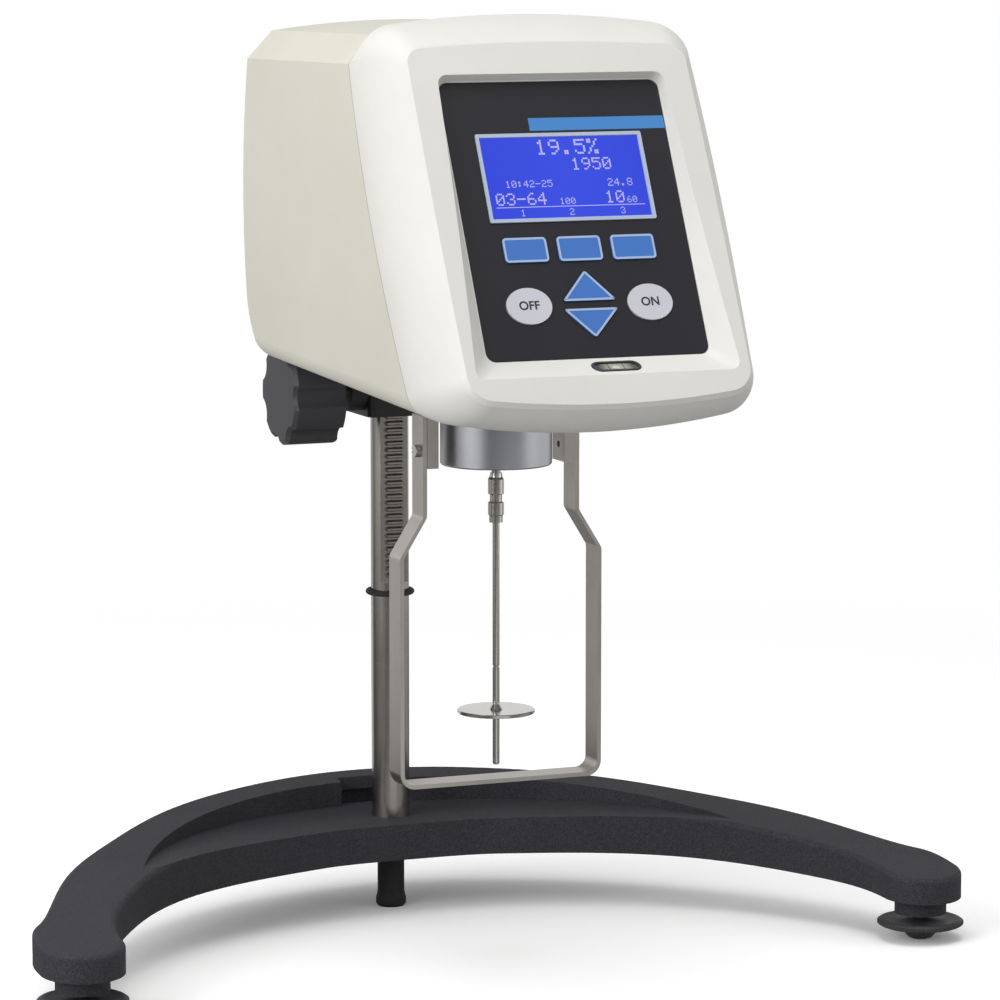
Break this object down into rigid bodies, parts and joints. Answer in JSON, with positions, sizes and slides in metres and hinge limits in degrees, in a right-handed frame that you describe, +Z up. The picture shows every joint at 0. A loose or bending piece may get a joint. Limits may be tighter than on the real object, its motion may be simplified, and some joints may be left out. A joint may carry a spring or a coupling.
{
  "type": "rotational viscometer",
  "caption": "Benchtop rotational viscometer: sloping keypad head, disc spindle in a guard leg, rack stand on a crescent base with levelling feet.",
  "frame": {"origin": "on the bench, on the axis of the upright rod, under the rear foot", "axes": "+Z up; the front of the instrument faces -Y; +X to the right seen from the front"},
  "size_m": [0.4446, 0.3137, 0.4286],
  "materials": {
    "black_moulding": "matte",
    "black_rubber": "matte",
    "blue_film": "satin",
    "board_green": "satin",
    "brass": "turned",
    "bright_steel": "polished",
    "charcoal_paint": "textured",
    "clamp_black": "satin",
    "clear_anodised": "satin",
    "display_glass": "backlit",
    "display_trim": "satin",
    "grey_film": "satin",
    "grey_silicone": "matte",
    "ground_steel": "brushed",
    "ivory_moulding": "fine texture",
    "panel_film": "satin",
    "spring_bronze": "satin",
    "vial_liquid": "clear",
    "white_moulding": "fine texture"
  },
  "bodies": {
    "stand": {"base_casting": "charcoal_paint", "upright_rod": "ground_steel", "base_screw": "bright_steel", "rear_foot": "black_rubber"},
    "foot_left": {"levelling_pad_left": "black_moulding"},
    "wheel_left": {"levelling_wheel_left": "black_moulding"},
    "foot_right": {"levelling_pad_right": "black_moulding"},
    "wheel_right": {"levelling_wheel_right": "black_moulding"},
    "ring": {"height_ring": "black_rubber"},
    "clamp": {"clamp_body": "clamp_black"},
    "lift": {"pinion_shaft": "bright_steel", "lift_knob": "black_moulding"},
    "tension": {"tension_screw": "black_moulding"},
    "head": {"mounting_rod": "bright_steel", "rear_cover": "ivory_moulding", "front_bezel": "white_moulding", "keypad_panel": "panel_film", "display_frame": "display_trim", "display_window": "display_glass", "display_module": "board_green", "level_ring": "black_moulding", "level_vial": "vial_liquid", "pivot_cup": "clear_anodised", "guard_leg": "ground_steel", "leg_bracket_left": "clear_anodised", "leg_bracket_right": "clear_anodised", "leg_screw_left": "bright_steel", "leg_screw_right": "bright_steel", "chassis_plate": "clear_anodised", "drive_motor": "clear_anodised", "motor_post_1": "brass", "motor_post_2": "brass", "motor_post_3": "brass", "control_board": "board_green", "key_mat": "grey_silicone", "power_inlet": "black_moulding", "switch_frame": "black_moulding"},
    "drive": {"drive_shaft": "brass"},
    "spindle": {"calibrated_spring": "spring_bronze", "spring_disc": "spring_bronze", "lower_shaft": "ground_steel", "coupling_nut": "bright_steel", "disc_spindle": "bright_steel"},
    "rocker": {"power_rocker": "black_moulding"},
    "soft_key_left": {"soft_key_left": "blue_film"},
    "soft_key_middle": {"soft_key_middle": "blue_film"},
    "soft_key_right": {"soft_key_right": "blue_film"},
    "up_key": {"up_key": "blue_film"},
    "down_key": {"down_key": "blue_film"},
    "round_key_left": {"round_key_left": "grey_film"},
    "round_key_right": {"round_key_right": "grey_film"}
  },
  "joints": [
    {"name": "level_left", "type": "slide", "parent": "stand", "child": "foot_left", "axis": [0, 0, 1], "range_m": [-0.008, 0.002]},
    {"name": "wheel_turn_left", "type": "hinge", "parent": "foot_left", "child": "wheel_left", "pos_m": [-0.2023, -0.158, 0.008], "axis": [0, 0, 1], "range_deg": [-2310, 580]},
    {"name": "level_right", "type": "slide", "parent": "stand", "child": "foot_right", "axis": [0, 0, 1], "range_m": [-0.008, 0.002]},
    {"name": "wheel_turn_right", "type": "hinge", "parent": "foot_right", "child": "wheel_right", "pos_m": [0.2023, -0.158, 0.008], "axis": [0, 0, 1], "range_deg": [-2310, 580]},
    {"name": "ring_slide", "type": "slide", "parent": "stand", "child": "ring", "axis": [0, 0, 1], "range_m": [-0.09, 0.03]},
    {"name": "head_lift", "type": "slide", "parent": "stand", "child": "clamp", "axis": [0, 0, 1], "range_m": [-0.08, 0.1]},
    {"name": "knob_turn", "type": "hinge", "parent": "clamp", "child": "lift", "pos_m": [-0.05, -0.013, 0.25], "axis": [1, 0, 0], "range_deg": [-960, 770]},
    {"name": "tension_turn", "type": "hinge", "parent": "clamp", "child": "tension", "pos_m": [0.025, 0.003, 0.25], "axis": [1, 0, 0], "range_deg": [-180, 180]},
    {"name": "head_level", "type": "hinge", "parent": "clamp", "child": "head", "pos_m": [0.0195, -0.03, 0.285], "axis": [0, 1, 0], "range_deg": [-2.5, 2.5]},
    {"name": "motor_turn", "type": "hinge", "parent": "head", "child": "drive", "pos_m": [0, -0.1333, 0.33], "axis": [0, 0, 1], "continuous": true},
    {"name": "spring_wind", "type": "hinge", "parent": "drive", "child": "spindle", "pos_m": [0, -0.1333, 0.25], "axis": [0, 0, 1], "range_deg": [-85, 85], "stiffness_Nm_per_rad": 0.00052},
    {"name": "switch_rock", "type": "hinge", "parent": "head", "child": "rocker", "pos_m": [-0.042, -0.0235, 0.348], "axis": [0, 0, 1], "range_deg": [-11, 0]},
    {"name": "press_soft_key_left", "type": "slide", "parent": "head", "child": "soft_key_left", "axis": [0, 0.8942, -0.4478], "range_m": [0, 0.0005], "stiffness_N_per_m": 600},
    {"name": "press_soft_key_middle", "type": "slide", "parent": "head", "child": "soft_key_middle", "axis": [0, 0.8942, -0.4478], "range_m": [0, 0.0005], "stiffness_N_per_m": 600},
    {"name": "press_soft_key_right", "type": "slide", "parent": "head", "child": "soft_key_right", "axis": [0, 0.8942, -0.4478], "range_m": [0, 0.0005], "stiffness_N_per_m": 600},
    {"name": "press_up_key", "type": "slide", "parent": "head", "child": "up_key", "axis": [0, 0.8942, -0.4478], "range_m": [0, 0.0005], "stiffness_N_per_m": 600},
    {"name": "press_down_key", "type": "slide", "parent": "head", "child": "down_key", "axis": [0, 0.8942, -0.4478], "range_m": [0, 0.0005], "stiffness_N_per_m": 600},
    {"name": "press_round_key_left", "type": "slide", "parent": "head", "child": "round_key_left", "axis": [0, 0.8942, -0.4478], "range_m": [0, 0.0005], "stiffness_N_per_m": 600},
    {"name": "press_round_key_right", "type": "slide", "parent": "head", "child": "round_key_right", "axis": [0, 0.8942, -0.4478], "range_m": [0, 0.0005], "stiffness_N_per_m": 600}
  ],
  "couplings": [
    {"joint": "wheel_turn_left", "follows": "level_left", "rad_per_m": 5026.5},
    {"joint": "wheel_turn_right", "follows": "level_right", "rad_per_m": 5026.5},
    {"joint": "knob_turn", "follows": "head_lift", "rad_per_m": -166.67}
  ]
}
